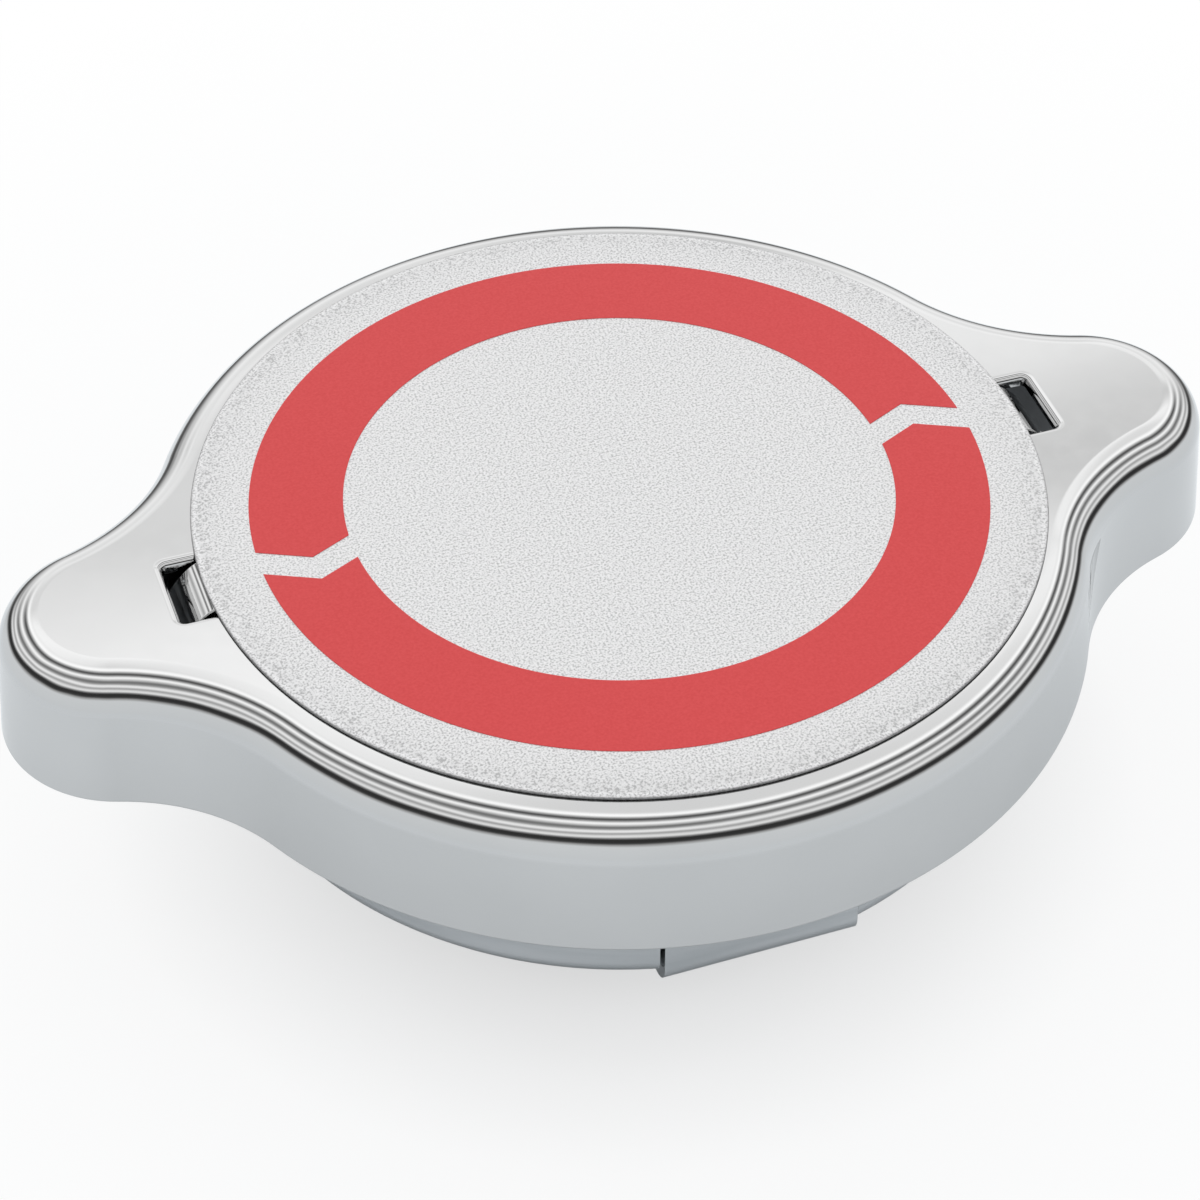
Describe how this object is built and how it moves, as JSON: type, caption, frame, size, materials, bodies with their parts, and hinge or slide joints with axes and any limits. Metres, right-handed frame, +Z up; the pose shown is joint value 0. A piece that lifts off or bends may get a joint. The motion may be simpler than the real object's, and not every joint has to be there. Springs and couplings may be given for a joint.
{
  "type": "radiator cap",
  "caption": "Two-eared chrome pressure cap for a radiator filler neck, with a red arrow ring on its label disc, bayonet lugs and a sprung pressure and vacuum valve.",
  "frame": {"origin": "on the cap's axis, at the lower gasket's sealing face on which the cap stands", "axes": "+Z up through the label, X along the two ears, Y across them, close to the bayonet lugs"},
  "size_m": [0.088, 0.0662, 0.0264],
  "materials": {
    "chrome": "bright chrome plate on pressed steel",
    "label_metal": "fine stippled satin silver",
    "red_enamel": "matt red printed enamel",
    "plated_steel": "bright zinc plate",
    "spring_steel": "drawn spring steel",
    "black_rubber": "matt moulded rubber",
    "brass": "plain turned brass"
  },
  "bodies": {
    "cap": {"outer_shell": "chrome", "label_disc": "label_metal", "label_print": "red_enamel", "bayonet_ring": "plated_steel", "centre_rivet": "plated_steel", "rivet_washer": "plated_steel"},
    "valve_cage": {"diaphragm_spring": "spring_steel", "upper_gasket": "black_rubber", "spring_bell": "plated_steel", "pressure_spring": "spring_steel"},
    "pressure_valve": {"spring_seat": "plated_steel", "pressure_plate": "plated_steel", "pressure_gasket": "black_rubber", "gasket_retainer": "plated_steel", "vacuum_spring": "spring_steel"},
    "vacuum_valve": {"vacuum_valve": "brass", "stem_collar": "brass"}
  },
  "joints": [
    {"name": "valve_swivel", "type": "hinge", "parent": "cap", "child": "valve_cage", "pos_m": [0, 0, 0.022], "axis": [0, 0, 1], "continuous": true},
    {"name": "pressure_lift", "type": "slide", "parent": "valve_cage", "child": "pressure_valve", "axis": [0, 0, 1], "range_m": [0, 0.003], "stiffness_N_per_m": 5000, "springref_m": -0.004, "deforming": ["pressure_spring"]},
    {"name": "vacuum_drop", "type": "slide", "parent": "pressure_valve", "child": "vacuum_valve", "axis": [0, 0, -1], "range_m": [0, 0.001], "stiffness_N_per_m": 300, "springref_m": -0.002, "deforming": ["vacuum_spring"]}
  ]
}
